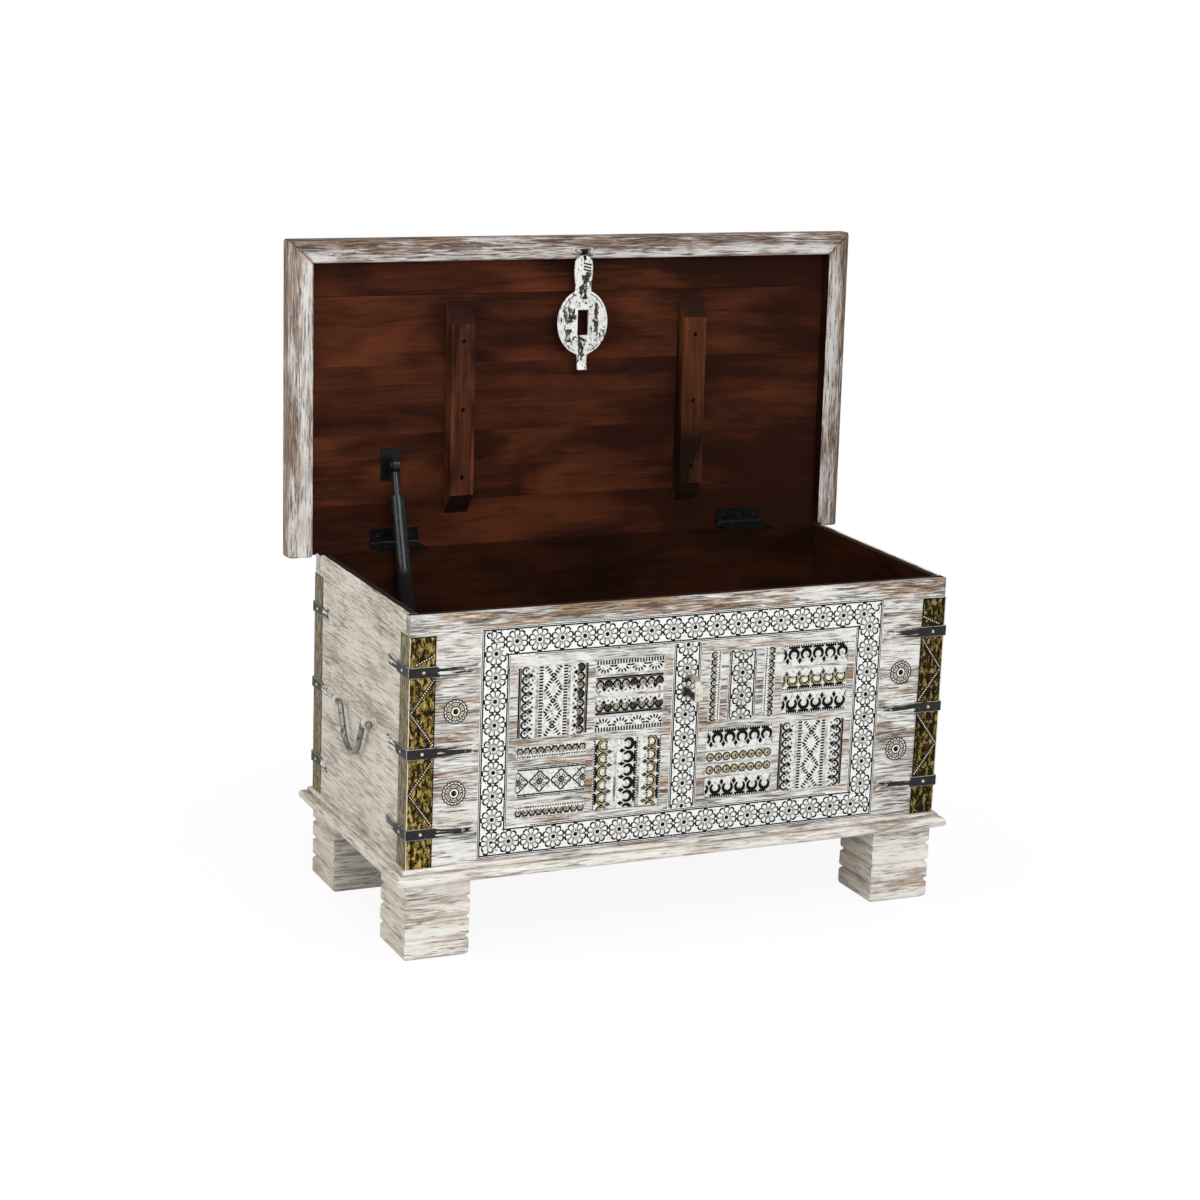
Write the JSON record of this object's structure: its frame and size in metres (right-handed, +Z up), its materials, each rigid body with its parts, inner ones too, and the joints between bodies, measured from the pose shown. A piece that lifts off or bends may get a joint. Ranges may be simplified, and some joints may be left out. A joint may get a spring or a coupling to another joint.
{
  "type": "storage chest",
  "caption": "Whitewashed wooden storage chest on grooved feet, with stamped strips, brass corners, iron straps, drop handles and a cap lid on butt hinges with a hasp and stay.",
  "frame": {"origin": "on the floor, under the middle of the body", "axes": "+X to the right side, -Y to the front, +Z up"},
  "size_m": [0.9, 0.4816, 0.9342],
  "materials": {
    "whitewashed_wood": "worn whitewash over brown wood",
    "stained_wood": "dark stain, satin",
    "aged_brass": "aged, patchy",
    "dark_iron": "blackened, worn",
    "stamped_metal": "white paint over stamped relief",
    "painted_iron": "worn white paint",
    "grey_iron": "bare",
    "black_metal": "black",
    "steel": "dull"
  },
  "bodies": {
    "chest": {"back_board": "whitewashed_wood", "back_left_brass_corner": "aged_brass", "back_left_foot": "whitewashed_wood", "back_left_straps": "dark_iron", "back_moulding": "whitewashed_wood", "back_right_brass_corner": "aged_brass", "back_right_foot": "whitewashed_wood", "back_right_straps": "dark_iron", "body_screws": "steel", "border_bottom_strip": "stamped_metal", "border_left_strip": "stamped_metal", "border_right_strip": "stamped_metal", "border_top_strip": "stamped_metal", "bottom_board": "whitewashed_wood", "centre_strip": "stamped_metal", "front_board": "whitewashed_wood", "front_left_brass_corner": "aged_brass", "front_left_foot": "whitewashed_wood", "front_left_straps": "dark_iron", "front_moulding": "whitewashed_wood", "front_right_brass_corner": "aged_brass", "front_right_foot": "whitewashed_wood", "front_right_straps": "dark_iron", "hasp_staple": "painted_iron", "left_handle_eyes": "grey_iron", "left_hinge_pin": "black_metal", "left_hinge_wall_leaf": "black_metal", "left_moulding": "whitewashed_wood", "left_panel_strips": "stamped_metal", "left_side_board": "whitewashed_wood", "right_handle_eyes": "grey_iron", "right_hinge_pin": "black_metal", "right_hinge_wall_leaf": "black_metal", "right_moulding": "whitewashed_wood", "right_panel_strips": "stamped_metal", "right_side_board": "whitewashed_wood", "rosettes": "stamped_metal", "stay_foot_bracket": "black_metal"},
    "lid": {"batten_screws": "steel", "hasp_eye": "painted_iron", "left_batten": "stained_wood", "left_hinge_lid_leaf": "black_metal", "lid_board_1": "stained_wood", "lid_board_2": "stained_wood", "lid_board_3": "stained_wood", "lid_board_4": "stained_wood", "lid_board_5": "stained_wood", "lid_front_rail": "whitewashed_wood", "lid_left_rail": "whitewashed_wood", "lid_right_rail": "whitewashed_wood", "lid_screws": "steel", "right_batten": "stained_wood", "right_hinge_lid_leaf": "black_metal", "stay_lid_bracket": "black_metal"},
    "hasp": {"hasp": "painted_iron"},
    "stay_barrel": {"stay_barrel": "black_metal"},
    "stay_rod": {"stay_rod": "steel"},
    "left_handle": {"left_handle": "grey_iron"},
    "right_handle": {"right_handle": "grey_iron"}
  },
  "joints": [
    {"name": "lid_hinge", "type": "hinge", "parent": "chest", "child": "lid", "pos_m": [0, 0.2165, 0.48815], "axis": [1, 0, 0], "range_deg": [0, 91.3]},
    {"name": "hasp_swing", "type": "hinge", "parent": "lid", "child": "hasp", "pos_m": [0, 0.20328, 0.91256], "axis": [1, 0, 0], "range_deg": [-110.06, 0.5]},
    {"name": "stay_swing", "type": "hinge", "parent": "lid", "child": "stay_barrel", "pos_m": [-0.29, 0.20131, 0.60552], "axis": [1, 0, 0], "range_deg": [-80.56, 0.5]},
    {"name": "stay_slide", "type": "slide", "parent": "stay_barrel", "child": "stay_rod", "axis": [0, 0.3036, 0.9528], "range_m": [-0.0005, 0.15475]},
    {"name": "left_handle_swing", "type": "hinge", "parent": "chest", "child": "left_handle", "pos_m": [-0.4225, 0, 0.303], "axis": [0, 1, 0], "range_deg": [0, 165]},
    {"name": "right_handle_swing", "type": "hinge", "parent": "chest", "child": "right_handle", "pos_m": [0.4225, 0, 0.303], "axis": [0, -1, 0], "range_deg": [0, 165]}
  ],
  "couplings": [
    {"joint": "hasp_swing", "follows": "lid_hinge", "ratio": -1.2},
    {"joint": "stay_swing", "follows": "lid_hinge", "ratio": -0.87694},
    {"joint": "stay_slide", "follows": "lid_hinge", "m_per_rad": 0.096801}
  ]
}
